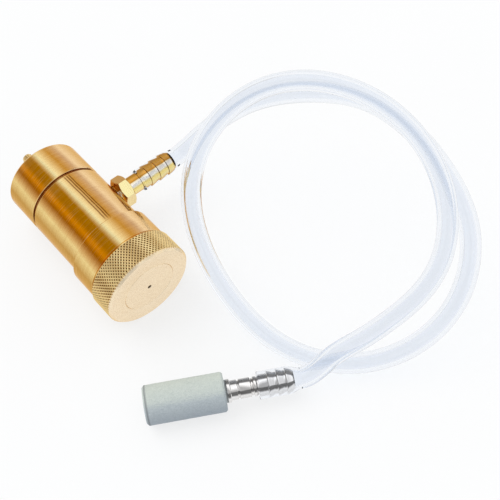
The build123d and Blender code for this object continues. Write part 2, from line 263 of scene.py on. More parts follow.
# =====================================================================
# material tools
# =====================================================================
class Net:
    """Builds shader nodes. Inputs are sockets or plain values."""

    def __init__(self, tree):
        self.tree = tree
        tree.nodes.clear()

    def node(self, kind, inputs=None, **props):
        node = self.tree.nodes.new(kind)
        for key, value in props.items():
            setattr(node, key, value)
        self.fill(node, inputs or {})
        return node

    def fill(self, node, inputs):
        for key, value in inputs.items():
            self.put(node.inputs[key], value)

    def put(self, socket, value):
        if isinstance(value, bpy.types.NodeSocket):
            self.tree.links.new(value, socket)
            return
        if hasattr(socket.default_value, "__len__"):
            size = len(socket.default_value)
            if not hasattr(value, "__len__"):
                value = (value,) * size
            if size == 4 and len(value) == 3:
                value = (*value, 1.0)
        socket.default_value = value

    def math(self, operation, *values):
        inputs = dict(enumerate(values))
        return self.node("ShaderNodeMath", inputs, operation=operation).outputs[0]

    def scaled(self, value, by, plus):
        return self.math("MULTIPLY_ADD", value, by, plus)

    def mix(self, factor, a, b, blend="MIX"):
        inputs = {0: factor, 6: a, 7: b}
        return self.node("ShaderNodeMix", inputs, data_type="RGBA", blend_type=blend).outputs[2]

    def multiplied(self, factor, color, tint):
        """The colour, multiplied by a tint where factor is 1."""
        return self.mix(factor, color, self.mix(1.0, color, tint, "MULTIPLY"))

    def ramp(self, factor, stops):
        node = self.node("ShaderNodeValToRGB")
        elements = node.color_ramp.elements
        while len(elements) < len(stops):
            elements.new(0.5)
        for element, (pos, col) in zip(elements, sorted(stops, key=lambda stop: stop[0])):
            element.position = pos
            element.color = (*col, 1.0) if hasattr(col, "__len__") else (col, col, col, 1.0)
        self.put(node.inputs[0], factor)
        return node.outputs[0]

    def degree_ramp(self, angle, stops):
        """A ramp over an angle of 0..1, with its stops in degrees from -180 to 180."""
        return self.ramp(angle, [((a + 180) / 360, color) for a, color in stops])

    def span(self, value, start, end, low=0.0, high=1.0, smooth=False):
        """Maps start..end to low..high and holds the ends."""
        node = self.node("ShaderNodeMapRange",
                         interpolation_type="SMOOTHSTEP" if smooth else "LINEAR")
        self.fill(node, dict(enumerate((value, start, end, low, high))))
        return node.outputs[0]

    def window(self, value, rise, fall, smooth=False):
        """1 between two (start, end) spans, 0 outside them."""
        return self.math("MULTIPLY", self.span(value, *rise, smooth=smooth),
                         self.span(value, *fall, low=1.0, high=0.0, smooth=smooth))

    def coord(self, kind):
        return self.node("ShaderNodeTexCoord").outputs[kind]

    def millimetres(self):
        """Object coordinates in millimetres."""
        inputs = {0: self.coord("Object"), 3: 1000.0}
        return self.node("ShaderNodeVectorMath", inputs, operation="SCALE").outputs[0]

    def split(self, vector):
        return tuple(self.node("ShaderNodeSeparateXYZ", {0: vector}).outputs)

    def dot(self, vector, direction):
        inputs = {0: vector, 1: tuple(float(c) for c in direction)}
        node = self.node("ShaderNodeVectorMath", inputs, operation="DOT_PRODUCT")
        return node.outputs["Value"]

    def radius(self, x, z):
        squares = self.math("ADD", self.math("MULTIPLY", x, x), self.math("MULTIPLY", z, z))
        return self.math("SQRT", squares)

    def around(self, side, up):
        """The angle of a direction round an axis, 0..1, with 0.5 straight up."""
        return self.scaled(self.math("ARCTAN2", side, up), by=1 / TAU, plus=0.5)

    def noise(self, vector, scale, detail=3.0, rough=0.5):
        inputs = {"Vector": vector, "Scale": scale, "Detail": detail, "Roughness": rough}
        return self.node("ShaderNodeTexNoise", inputs, noise_dimensions="3D").outputs[0]

    def lines(self, position, per_mm):
        """Fine turned lines that follow one another along a position."""
        inputs = {"W": self.math("MULTIPLY", position, per_mm),
                  "Scale": 1.0, "Detail": 4.0, "Roughness": 0.65}
        node = self.node("ShaderNodeTexNoise", noise_dimensions="1D")
        self.fill(node, inputs)
        return node.outputs[0]

    def bump(self, height, strength, mm):
        inputs = {"Strength": strength, "Distance": mm * MM, "Height": height}
        return self.node("ShaderNodeBump", inputs).outputs[0]


def node_material(name):
    mat = bpy.data.materials.new(name)
    mat.use_nodes = True
    return mat, Net(mat.node_tree)


def material(name):
    """A material whose Principled shader is linked to its output."""
    mat, net = node_material(name)
    output = net.node("ShaderNodeOutputMaterial")
    bsdf = net.node("ShaderNodeBsdfPrincipled")
    net.put(output.inputs[0], bsdf.outputs[0])
    return mat, net, bsdf, output


# =====================================================================
# studio: strips of light lie along the tap, and the table is white
# =====================================================================
# brightness of the room by angle round the Y axis, in degrees from straight up
STRIPS = [
    (-180.0, 0.90), (-85.0, 0.90), (-60.0, 0.40), (-45.0, 0.80), (-30.0, 0.45),
    (-10.0, 0.45), (10.0, 1.20), (40.0, 0.70), (65.0, 1.05), (180.0, 0.90)]
CAMERA_AZIMUTH, CAMERA_HEIGHT = math.radians(-41.255), math.radians(56.807)


def build_world():
    world = bpy.data.worlds.new("studio")
    bpy.context.scene.world = world
    world.use_nodes = True
    net = Net(world.node_tree)
    x, y, z = net.split(net.coord("Generated"))
    strips = net.degree_ramp(net.around(x, z), STRIPS)
    # the strips fade out towards both ends of the room
    ends = net.span(net.math("ABSOLUTE", y), start=0.72, end=0.93, smooth=True)
    shine = net.mix(ends, strips, (0.8, 0.8, 0.8))
    # mirrors and glass see the strips, everything else an even light
    ray = net.node("ShaderNodeLightPath").outputs
    sharp = net.math("MAXIMUM", ray["Is Glossy Ray"], ray["Is Transmission Ray"])
    background = net.node("ShaderNodeBackground", {
        0: net.mix(sharp, (0.96, 0.98, 1.0), shine),
        1: net.scaled(sharp, by=0.22, plus=0.78)})
    net.node("ShaderNodeOutputWorld", {0: background.outputs[0]})


def build_key_light():
    key = bpy.data.lights.new("key", "SUN")
    key.energy = 1.15
    key.angle = math.radians(50)
    key.color = (1.0, 0.99, 0.97)
    ob = bpy.data.objects.new("key", key)
    bpy.context.scene.collection.objects.link(ob)
    direction = Vector((0.30, -0.60, -1.0))
    ob.rotation_euler = direction.to_track_quat("-Z", "Y").to_euler()
    ob.visible_glossy = False
    ob.visible_transmission = False


def build_table():
    half, z = 6.0, FLOOR_Z * MM     # metres
    mesh = bpy.data.meshes.new("table")
    corners = [(-half, -half, z), (half, -half, z), (half, half, z), (-half, half, z)]
    mesh.from_pydata(corners, [], [(0, 1, 2, 3)])
    table = bpy.data.objects.new("table", mesh)
    bpy.context.scene.collection.objects.link(table)
    mesh.materials.append(table_material())


def table_material():
    mat, net = node_material("table_white")
    cloud = net.noise(net.millimetres(), scale=0.02, detail=2.0)
    tone = net.ramp(cloud, [(0.3, (0.90, 0.905, 0.91)), (0.7, (0.915, 0.92, 0.925))])
    diffuse = net.node("ShaderNodeBsdfDiffuse", {0: tone})
    glow = net.node("ShaderNodeEmission", {"Color": (1, 1, 1, 1), "Strength": 1.0})
    # the camera and mirrors see the table partly lit from itself
    camera_glow, mirror_glow = 0.72, 0.85
    ray = net.node("ShaderNodeLightPath").outputs
    factor = net.math("MAXIMUM", net.math("MULTIPLY", ray["Is Camera Ray"], camera_glow),
                      net.math("MULTIPLY", ray["Is Glossy Ray"], mirror_glow))
    shader = net.node("ShaderNodeMixShader", {0: factor, 1: diffuse.outputs[0],
                                              2: glow.outputs[0]})
    net.node("ShaderNodeOutputMaterial", {0: shader.outputs[0]})
    return mat


def build_camera():
    scene = bpy.context.scene
    camera = bpy.data.cameras.new("camera")
    camera.lens, camera.sensor_width = 64.8, 36.0
    camera.clip_start, camera.clip_end = 0.005, 50.0
    ob = bpy.data.objects.new("camera", camera)
    scene.collection.objects.link(ob)
    ob.location = (-0.07459, -0.19532, 0.25164)
    back = Vector((math.sin(CAMERA_AZIMUTH) * math.cos(CAMERA_HEIGHT),
                   -math.cos(CAMERA_AZIMUTH) * math.cos(CAMERA_HEIGHT),
                   math.sin(CAMERA_HEIGHT)))
    ob.rotation_euler = (-back).to_track_quat("-Z", "Y").to_euler()
    scene.camera = ob
    scene.view_settings.view_transform = "Standard"
    scene.view_settings.look = "None"


build_world()
build_key_light()
build_table()
build_camera()

# =====================================================================
# brass
# =====================================================================
# painted reflections on the brass pieces: metal colour with the room's light and shade, and the
# table's dark contact edge, painted in by the direction it mirrors: degrees round the axis from
# straight up, colour
BODY_PAINTED_REFLECTION = [
    (-180, (0.80, 0.50, 0.20)), (-130, (0.60, 0.35, 0.10)), (-95, (0.90, 0.70, 0.30)),
    (-60, (0.80, 0.25, 0.00)), (-10, (0.85, 0.35, 0.00)), (5, (0.85, 0.75, 0.40)),
    (40, (0.85, 0.40, 0.05)), (65, (0.65, 0.40, 0.20)), (80, (0.95, 0.70, 0.40)),
    (130, (0.80, 0.50, 0.20)), (180, (0.80, 0.50, 0.20))]
FACE_PAINTED_REFLECTION = [(-180, (1.0, 0.88, 0.70)), (0, (0.97, 0.80, 0.50)), (180, (1.0, 0.88, 0.70))]
FITTING_PAINTED_REFLECTION = [
    (-180, (0.80, 0.52, 0.20)), (-150, (0.62, 0.34, 0.10)), (-125, (0.50, 0.26, 0.06)),
    (-92, (0.46, 0.22, 0.05)), (-84, (0.55, 0.28, 0.05)), (-60, (0.72, 0.36, 0.05)),
    (-34, (0.80, 0.42, 0.10)), (-12, (0.74, 0.36, 0.05)), (2, (0.55, 0.25, 0.03)),
    (12, (0.98, 0.88, 0.60)), (26, (1.0, 0.98, 0.92)), (58, (1.0, 0.98, 0.92)),
    (70, (1.0, 0.94, 0.66)), (84, (0.95, 0.76, 0.28)), (110, (0.96, 0.80, 0.30)),
    (140, (0.97, 0.84, 0.42)), (180, (0.95, 0.78, 0.44))]
HEXAGON_PAINTED_REFLECTION = [
    (-180, (0.80, 0.50, 0.20)), (-60, (0.62, 0.36, 0.14)), (-8, (0.66, 0.38, 0.14)),
    (6, (1.0, 0.90, 0.46)), (60, (1.0, 0.92, 0.50)), (90, (0.98, 0.86, 0.50)),
    (180, (0.95, 0.78, 0.44))]
# painted dark reflections: lines along the barrel set by the mirrored direction, in degrees:
# (middle, half width, strength)
REFLECTED_STREAKS = ((23.5, 3.4, 0.85), (31.5, 3.2, 1.0), (38.5, 3.2, 0.9))


def paint_reflection(net, vector, stops, side, axis):
    """Painted reflection: colour by the mirrored direction, with the side colour near the axis
    itself.
    """
    mirror_x, mirror_y, mirror_z = net.split(net.coord("Reflection"))
    if axis == "X":
        angle = net.around(net.math("MULTIPLY", mirror_y, -1.0), mirror_z)
        along = mirror_x
    else:
        angle = net.around(mirror_x, mirror_z)
        along = mirror_y
    wobble = net.noise(vector, scale=0.25, detail=2.0)
    angle = net.math("ADD", angle, net.scaled(wobble, by=0.010, plus=-0.005))
    color = net.degree_ramp(angle, stops)
    ends = net.span(net.math("ABSOLUTE", along), start=0.62, end=0.92, smooth=True)
    return net.mix(ends, color, side), angle


def paint_reflected_streaks(net, color, angle, y):
    # paints dark reflected lines, placed by the mirrored direction, on the middle of the barrel
    from_top = net.math("SUBTRACT", angle, 0.5)
    zone = net.window(y, rise=(-39.8, -37.0), fall=(-16.5, BARREL_START), smooth=True)
    total = None
    for middle, width, strength in REFLECTED_STREAKS:
        distance = net.math("ABSOLUTE", net.math("SUBTRACT", from_top, middle / 360))
        line = net.span(distance, start=0.0, end=width / 360, low=1.0, high=0.0, smooth=True)
        line = net.math("MULTIPLY", line, strength)
        total = line if total is None else net.math("MAXIMUM", total, line)
    return net.mix(net.math("MULTIPLY", total, zone), color, (0.20, 0.055, 0.004))


def add_lathe_marks(net, color, x, y, z):
    """Short dark and bright marks that run round the metal."""
    around_scale, along_scale = 1.6, 2.6    # noise cells per radian and per mm
    place = net.node("ShaderNodeCombineXYZ", {
        0: net.math("MULTIPLY", net.math("ARCTAN2", x, z), around_scale),
        1: net.math("MULTIPLY", y, along_scale)})
    mark = net.noise(place.outputs[0], scale=1.0, detail=3.0, rough=0.6)
    color = net.multiplied(net.span(mark, start=0.52, end=0.78, high=0.45),
                           color, (0.62, 0.48, 0.34))
    return net.mix(net.span(mark, start=0.46, end=0.22, high=0.30), color, (1.0, 0.80, 0.42))


def paint_groove_shade(net, color, x, y, z):
    # painted shade in the bottom of the parting groove
    radius = net.radius(x, z)
    gap = net.window(y, rise=(-15.30, -15.18), fall=(-14.22, -14.10))
    low = net.span(radius, start=13.85, end=13.5, high=0.62)
    return net.mix(net.math("MULTIPLY", gap, low), color, (0.25, 0.07, 0.008))


def paint_knurl_light_and_shade(net, color, x, y, z):
    """Paints a highlight over the knurled band and painted shade in its grooves."""
    band_highlight, groove_shade_strength = 0.50, 0.96
    radius = net.radius(x, z)
    zone = net.math("MULTIPLY", net.span(y, start=-51.4, end=-51.2, low=1.0, high=0.0),
                    net.span(y, start=-60.0, end=-59.8))
    low = net.math("MULTIPLY", net.span(radius, start=15.93, end=15.74), zone)
    color = net.mix(net.math("MULTIPLY", zone, band_highlight), color, (1.0, 0.86, 0.46))
    return net.multiplied(net.math("MULTIPLY", low, groove_shade_strength), color, (0.16, 0.09, 0.03))


def brass(name, stops, rough=0.15, aniso=0.65, lines=11.0, depth=0.10, dirt=0.10,
          side=(0.90, 0.62, 0.27), axis="Y", face=False, reflected_streaks=False, grooves=False):
    """Turned brass. lines is their number per mm, depth the strength of their bump."""
    mat, net, bsdf, _ = material(name)
    vector = net.millimetres()
    x, y, z = net.split(vector)
    # painted reflection: the base colour follows the direction the surface mirrors
    color, angle = paint_reflection(net, vector, stops, side, axis)
    # painted dark reflected lines on the barrel
    if reflected_streaks:
        color = paint_reflected_streaks(net, color, angle, y)
    if face:
        position = net.radius(x, z)
    else:
        position = x if axis == "X" else y
    # slow change of tone, turned lines and specks
    patch = net.noise(vector, scale=0.16)
    color = net.multiplied(net.span(patch, start=0.35, end=0.72, high=dirt),
                           color, (0.80, 0.60, 0.42))
    fine = net.lines(position, lines)
    color = net.multiplied(net.span(fine, start=0.35, end=0.65, high=0.30),
                           color, (0.76, 0.66, 0.54))
    speck = net.noise(vector, scale=3.2, detail=4.0, rough=0.7)
    color = net.multiplied(net.span(speck, start=0.46, end=0.74, high=0.55),
                           color, (0.66, 0.54, 0.42))
    if face:
        # shadow in the centre mark
        mark = net.span(position, start=0.80, end=0.62, high=0.93)
        color = net.mix(mark, color, (0.05, 0.03, 0.015))
    elif axis == "Y":
        color = add_lathe_marks(net, color, x, y, z)
        color = paint_groove_shade(net, color, x, y, z)
    # painted highlight on the knurled band and painted shade in its grooves
    if grooves:
        color = paint_knurl_light_and_shade(net, color, x, y, z)

    line_rough, patch_rough, speck_height = 0.10, 0.10, 0.35
    ripple = net.span(fine, start=0.3, end=0.7, low=-0.5, high=0.5)
    roughness = net.math("ADD", net.math("MULTIPLY", ripple, line_rough),
                         net.scaled(patch, by=patch_rough, plus=rough - 0.05))
    tangent = net.node("ShaderNodeTangent", direction_type="RADIAL", axis=axis)
    height = net.math("ADD", fine, net.math("MULTIPLY", speck, speck_height))
    net.fill(bsdf, {
        "Base Color": color,
        "Metallic": 1.0,
        "Specular Tint": (0.93, 0.76, 0.52),
        "Roughness": roughness,
        "Tangent": tangent.outputs[0],
        "Anisotropic": aniso,
        "Anisotropic Rotation": 0.25,
        "Normal": net.bump(height, strength=depth, mm=0.04)})
    return mat


COLLAR_BRASS = brass("brass_collar", BODY_PAINTED_REFLECTION)
BARREL_BRASS = brass("brass_body", BODY_PAINTED_REFLECTION, reflected_streaks=True)
KNOB_BRASS = brass("brass_knob", BODY_PAINTED_REFLECTION, grooves=True)
FACE_BRASS = brass("brass_face", FACE_PAINTED_REFLECTION, rough=0.24, aniso=0.45, lines=7.0, depth=0.12,
                   dirt=0.05, side=(1.0, 0.88, 0.68), face=True)
FITTING_BRASS = brass("brass_fitting", FITTING_PAINTED_REFLECTION, rough=0.12, aniso=0.30, lines=3.4,
                      depth=0.16, dirt=0.08, side=(0.42, 0.20, 0.03), axis="X")
HEXAGON_BRASS = brass("brass_hexagon", HEXAGON_PAINTED_REFLECTION, rough=0.14, aniso=0.3, lines=3.0,
                      depth=0.2, dirt=0.08, side=(0.40, 0.17, 0.02), axis="X")
INNER_BRASS = brass("brass_inner", BODY_PAINTED_REFLECTION, rough=0.26, aniso=0.4)
# a spare finish for inner pieces along X, which no piece wears
brass("brass_inner_x", FITTING_PAINTED_REFLECTION, rough=0.26, aniso=0.3, axis="X")

# =====================================================================
# other materials
# =====================================================================
# painted reflection on the stem: brightness by the direction it mirrors, in degrees round its
# axis
STEEL_PAINTED_REFLECTION = [
    (-180, 0.86), (-150, 0.80), (-112, 0.86), (-98, 0.42), (-90, 0.16), (-56, 0.22),
    (-44, 0.98), (0, 1.0), (36, 1.0), (44, 0.34), (56, 0.20), (84, 0.24), (100, 0.40),
    (122, 0.52), (136, 0.90), (180, 0.90)]


def stem_painted_reflection(net):
    # painted reflection: brightness follows the mirrored direction round the stem
    mirror = net.coord("Reflection")
    side = net.dot(mirror, STEM_SIDE)
    up = net.dot(mirror, np.cross(STEM_DIR, STEM_SIDE))
    tint = net.degree_ramp(net.around(side, up), STEEL_PAINTED_REFLECTION)
    return net.mix(1.0, tint, (1.0, 0.985, 0.975), "MULTIPLY")


def plain_metal(name, rough, color=None, depth=0.08):
    """Metal with fine lines along Y, or with a painted reflection and lined along the stem if no
    colour is given.
    """
    mat, net, bsdf, _ = material(name)
    vector = net.millimetres()
    if color is None:
        color = stem_painted_reflection(net)
        position = net.dot(vector, STEM_DIR)
    else:
        position = net.split(vector)[1]
    fine = net.lines(position, per_mm=8.0)
    patch = net.noise(vector, scale=0.3)
    lined = net.multiplied(net.span(fine, start=0.35, end=0.7, high=0.35),
                           color, (0.72, 0.72, 0.72))
    # patches take their tone from the unlined colour
    patchy = net.mix(net.span(patch, start=0.4, end=0.7, high=0.2), lined,
                     net.mix(1.0, lined, (0.86, 0.85, 0.82), "MULTIPLY"))
    net.fill(bsdf, {
        "Base Color": patchy,
        "Metallic": 1.0,
        "Roughness": net.scaled(fine, by=0.12, plus=rough - 0.04),
        "Normal": net.bump(fine, strength=depth, mm=0.03)})
    return mat


def grainy(name, dark, light, rough, grain_scale, bump_mm, metallic=0.0):
    """A dull surface with fine grain in two tones."""
    mat, net, bsdf, _ = material(name)
    vector = net.millimetres()
    grain = net.noise(vector, scale=grain_scale, detail=5.0, rough=0.6)
    wide = net.noise(vector, scale=grain_scale * 0.08)
    color = net.mix(net.span(grain, start=0.3, end=0.7), dark, light)
    color = net.multiplied(net.span(wide, start=0.35, end=0.7, high=0.35),
                           color, (0.8, 0.8, 0.8))
    net.fill(bsdf, {
        "Base Color": color,
        "Metallic": metallic,
        "Roughness": net.scaled(grain, by=0.14, plus=rough - 0.07),
        "Normal": net.bump(grain, strength=0.5, mm=bump_mm)})
    return mat


# tone of the stone by its grain, then painted light and shade by how far its surface turns to the
# light
STONE_TONES = [(0.30, (0.36, 0.385, 0.38)), (0.46, (0.56, 0.59, 0.565)),
               (0.62, (0.655, 0.685, 0.65)), (0.76, (0.74, 0.765, 0.73))]
STONE_LIGHT = [(0.0, (0.66, 0.70, 0.80)), (0.42, (0.80, 0.84, 0.92)),
               (0.62, (0.97, 1.0, 1.0)), (1.0, (1.0, 1.02, 0.98))]


def stone_material():
    mat, net, bsdf, _ = material("stone_sintered")
    vector = net.millimetres()
    grain = net.noise(vector, scale=3.4, detail=6.0, rough=0.78)
    big = net.noise(vector, scale=1.1, rough=0.7)
    wide = net.noise(vector, scale=0.12, detail=2.0)
    color = net.ramp(grain, STONE_TONES)
    color = net.mix(net.span(big, start=0.40, end=0.72, high=0.50),
                    color, (0.47, 0.51, 0.485))
    color = net.mix(net.span(wide, start=0.35, end=0.7, high=0.25),
                    color, (0.66, 0.68, 0.62))
    # painted light and shade: greenish towards the light, bluish and darker away from it
    normal = net.node("ShaderNodeNewGeometry").outputs["Normal"]
    facing = net.dot(normal, unit(STEM_SIDE * 0.80 + np.array([0, 0, 0.60])))
    light = net.ramp(net.span(facing, start=-0.75, end=0.95), STONE_LIGHT)
    color = net.mix(1.0, color, light, "MULTIPLY")
    # dark ring near the end away from the stem
    ring_strength = 0.62
    end = float(STONE_C @ STEM_DIR) - STONE_HALF
    ring = net.window(net.dot(vector, STEM_DIR), rise=(end + 0.35, end + 0.55),
                      fall=(end + 0.9, end + 1.25))
    color = net.mix(net.math("MULTIPLY", ring, ring_strength), color, (0.16, 0.17, 0.18))
    big_height = 0.4
    height = net.math("ADD", grain, net.math("MULTIPLY", big, big_height))
    net.fill(bsdf, {
        "Base Color": color,
        "Roughness": 0.92,
        "Specular IOR Level": 0.25,
        "Normal": net.bump(height, strength=0.55, mm=0.06)})
    return mat


def hose_material(name, ior):
    """Clear plastic that lets shadow and diffuse rays straight through."""
    mat, net, bsdf, output = material(name)
    vector = net.millimetres()
    haze = net.noise(vector, scale=0.5)
    net.fill(bsdf, {
        "Transmission Weight": 1.0,
        "IOR": ior,
        "Base Color": net.mix(net.span(haze, start=0.3, end=0.7),
                              (0.90, 0.925, 0.965), (0.92, 0.94, 0.97)),
        "Roughness": net.scaled(haze, by=0.05, plus=0.015),
        "Normal": net.bump(net.noise(vector, scale=0.9, detail=2.0), strength=0.04, mm=0.08)})
    clear = net.node("ShaderNodeBsdfTransparent", {0: (0.93, 0.955, 0.985)})
    ray = net.node("ShaderNodeLightPath").outputs
    passing = net.math("MAXIMUM", ray["Is Shadow Ray"], ray["Is Diffuse Ray"])
    shader = net.node("ShaderNodeMixShader", {0: passing, 1: bsdf.outputs[0],
                                              2: clear.outputs[0]})
    net.put(output.inputs[0], shader.outputs[0])
    return mat


STEM_STEEL = plain_metal("steel_stem", rough=0.12)
PIN_BRASS = plain_metal("brass_pin", rough=0.16, color=(0.82, 0.58, 0.26))
WIRE_STEEL = plain_metal("steel_wire", rough=0.22, color=(0.62, 0.62, 0.64))
BALL_STEEL = plain_metal("steel_ball", rough=0.06, color=(0.80, 0.80, 0.82), depth=0.02)
NITRILE = grainy("nitrile_black", dark=(0.018, 0.018, 0.020), light=(0.045, 0.045, 0.048),
                 rough=0.48, grain_scale=6.0, bump_mm=0.02)
WASHER = grainy("washer_grey", dark=(0.30, 0.31, 0.31), light=(0.42, 0.43, 0.43),
                rough=0.5, grain_scale=5.0, bump_mm=0.02)
NYLON = grainy("nylon_natural", dark=(0.82, 0.80, 0.72), light=(0.90, 0.88, 0.81),
               rough=0.42, grain_scale=3.0, bump_mm=0.02)
BRONZE = grainy("bronze_sintered", dark=(0.20, 0.12, 0.05), light=(0.62, 0.40, 0.20),
                rough=0.5, grain_scale=9.0, bump_mm=0.08, metallic=1.0)
STONE = stone_material()
HOSE = hose_material("hose_clear", ior=1.42)
HOSE_GRIP = hose_material("hose_clear_grip", ior=1.20)


# =====================================================================
# tap: outline points are (y, radius)
# =====================================================================
def build_collar():
    """The collar with its internally threaded port and the spigot that enters the barrel."""
    mouth_r = PORT_ROOT + 0.15
    outside = soft([
        (0.0, BODY_R - 0.7), (-0.7, BODY_R), (COLLAR_END + 0.35, BODY_R),
        (COLLAR_END, BODY_R - 0.35), (COLLAR_END, 13.0), (BARREL_START, 13.0),
        (BARREL_START, 11.0), (-16.6, 11.0), (-16.6, 9.4), (-18.4, 9.4), (-18.4, 11.0),
        (-19.3, 11.0), (JOINT_Y, 10.7), (JOINT_Y, 1.85), (-11.5, 1.85)],
        radius=0.10, closed=False)
    thread = stepped(-0.02, -10.6, -PORT_PITCH / THREAD_STEPS, PORT_R)
    floor = [(-11.5, 10.8), (-11.4, PORT_ROOT), (-10.7, PORT_ROOT)]
    outline = [(0.0, mouth_r)] + outside + floor + thread[::-1]

    def cut_thread(y, r, th):
        if -10.65 < y[0] < -0.01 and abs(r[0] - PORT_R) < 1e-6:
            depth = PORT_ROOT - PORT_R
            cut = vee(y / PORT_PITCH - th / TAU) * depth
            run = np.clip((y + 10.7) / 0.9, 0, 1)
            r = PORT_R + np.maximum(cut, depth * (1 - run))
            r = np.maximum(r, mouth_r + y)
        return y, r

    piece("socket_collar", lathe(outline, ORIGIN, Y_AXIS, UP, 240, cut_thread),
          [COLLAR_BRASS], "tap", "inlet_socket")


def build_barrel():
    """The barrel with a threaded neck and a stepped bore."""
    outside = soft([
        (BARREL_START, 11.05), (BARREL_START, BODY_R - 0.35), (BARREL_START - 0.35, BODY_R),
        (BARREL_END + 0.5, BODY_R), (BARREL_END, BODY_R - 0.5), (BARREL_END, NECK_R)],
        radius=0.10, closed=False)
    neck = stepped(-46.9, -54.2, -NECK_PITCH / THREAD_STEPS, NECK_R)
    bore = soft([
        (-54.35, 8.0), (-54.6, 8.0), (-54.6, 7.3), (-55.4, 7.3), (-55.4, 8.0), (-55.6, 8.0),
        (-56.0, 7.6), (-56.0, 4.5), (-40.5, 4.5), (-40.5, 2.55), (-30.2, 2.55), (-30.2, 6.0),
        (JOINT_Y, 6.0), (JOINT_Y, 11.05)], radius=0.06, steps=2, closed=False)

    def cut_thread(y, r, th):
        if -54.3 < y[0] < -46.8 and abs(r[0] - NECK_R) < 1e-6:
            ends = np.clip((-46.9 - y) / 0.8, 0, 1) * np.clip((y + 54.2) / 0.5, 0, 1)
            r = NECK_R - NECK_CUT * vee(y / NECK_PITCH - th / TAU) * ends
        return y, r

    ob = piece("barrel", lathe(outside + neck + bore, ORIGIN, Y_AXIS, UP, 240, cut_thread),
               [BARREL_BRASS], "tap", "valve_body")
    # outlet port with its countersunk mouth, and the narrow gas way behind it: (x, radius)
    port = [(7.4, 0), (7.4, 4.0), (13.7, 4.0), (14.9, 4.9), (14.9, 0)]
    gas_way = [(4.0, 0), (4.0, 1.3), (8.0, 1.3), (8.0, 0)]
    for outline, sides in ((port, 72), (gas_way, 48)):
        carve(ob, lathe(outline, OUTLET_ORIGIN, X_AXIS, UP, sides, closed=False))


DIAMONDS = 84                       # diamonds round the knob
DIAMOND_STEPS = 6                   # samples across each diamond
DIAMOND_LEN = 1.42
KNURL_START, KNURL_DEPTH = -50.9, 0.34
KNURL_ROWS = round((KNOB_LEN - 0.02 + KNURL_START) / (DIAMOND_LEN / DIAMOND_STEPS))
KNURL_ROW = (KNOB_LEN + KNURL_START) / KNURL_ROWS


def diamond_place(column, row):
    """Places along the two diagonal groove directions; grooves lie at whole numbers."""
    column, row = column / DIAMOND_STEPS, row / DIAMOND_STEPS
    return column + row, column - row


def knurl_low(column, row):
    """0 on a diamond's top, 1 in a groove."""
    u, v = diamond_place(column, row)
    from_u, from_v = np.abs(u - np.round(u)) * 2, np.abs(v - np.round(v)) * 2
    top = 1 - np.clip((np.minimum(from_u, from_v) - 0.22) / 0.62, 0, 1)
    return 1 - top


def build_knob():
    """The knob: a plain skirt, a knurled band and a thread that fits the neck."""
    sides = DIAMONDS * DIAMOND_STEPS
    band_start_r = SKIRT_R - 0.32
    thread_r, bore_r = 8.06, 8.10
    skirt = soft([(-39.9, 14.1), (-39.9, SKIRT_R - 0.3), (-40.2, SKIRT_R), (-50.35, SKIRT_R),
                  (-50.55, band_start_r)], radius=0.08, closed=False)
    band = [(KNURL_START - k * KNURL_ROW, KNURL_R) for k in range(KNURL_ROWS + 1)]
    end = soft([(-KNOB_LEN, 15.1), (-KNOB_LEN, 9.72), (-(KNOB_LEN - 0.1), 9.62),
                (-54.5, 9.62)], radius=0.03, steps=2, closed=False)
    thread = stepped(-54.45, -48.95, NECK_PITCH / THREAD_STEPS, thread_r)
    outline = (skirt + band + end + [(-54.5, bore_r)] + thread
               + [(-48.9, bore_r), (-48.9, 13.9), (-48.7, 14.1)])
    first, last = len(skirt), len(skirt) + KNURL_ROWS

    def cut(y, r, th):
        here = y[0]
        if abs(r[0] - KNURL_R) < 1e-6 and here <= KNURL_START + 1e-6:
            row = round((KNURL_START - here) / KNURL_ROW)
            knurl = KNURL_R - KNURL_DEPTH * knurl_low(th / TAU * sides, row)
            start_bevel = band_start_r + (KNURL_START - here) * 2.0
            end_bevel = KNURL_R - max(0.0, -here - (KNOB_LEN - 0.85)) * 0.98
            r = np.minimum(np.minimum(knurl, start_bevel), end_bevel)
        elif abs(r[0] - thread_r) < 1e-6:
            ends = np.clip((y + 54.5) / 0.5, 0, 1) * np.clip((-48.9 - y) / 0.5, 0, 1)
            r = bore_r - NECK_CUT * vee(y / NECK_PITCH - th / TAU) * ends
        return y, r

    def along_groove(i, k):
        """Splits the knurl's quads along the nearer groove."""
        if not first <= i < last:
            return None
        u, v = diamond_place(k + 0.5, i - first + 0.5)
        return abs(v - round(v)) < abs(u - round(u))

    def end_face(centres):
        radius = np.hypot(centres[:, 0], centres[:, 2])
        return (centres[:, 1] < -(KNOB_LEN - 0.80)) & (radius > 9.0)

    piece("knob", lathe(outline, ORIGIN, Y_AXIS, UP, sides, cut, diagonal=along_groove),
          [KNOB_BRASS, FACE_BRASS], "knob", "knob_grip", angle=24, pick=end_face)


def build_knob_plug():
    """A plug flush with the knob's end, faced in fine rings, with a centre mark."""
    end = KNOB_LEN
    side = soft([(-(end - 2.2), 0.0), (-(end - 2.2), 9.4), (-(end - 2.0), 9.6),
                 (-(end - 0.10), 9.6), (-end, 9.5)], radius=0.05, steps=2, closed=False)
    faced = [(-end + 0.006 * (k % 2), 9.4 - 8.5 * k / 60) for k in range(61)]
    mark = [(-end, 0.82), (-(end - 0.03), 0.74), (-(end - 0.35), 0.40), (-(end - 0.66), 0.12),
            (-(end - 0.70), 0.0)]
    piece("knob_end_plug", lathe(side + faced + mark, ORIGIN, Y_AXIS, UP, 180, closed=False),
          [FACE_BRASS], "knob", "knob_plug")


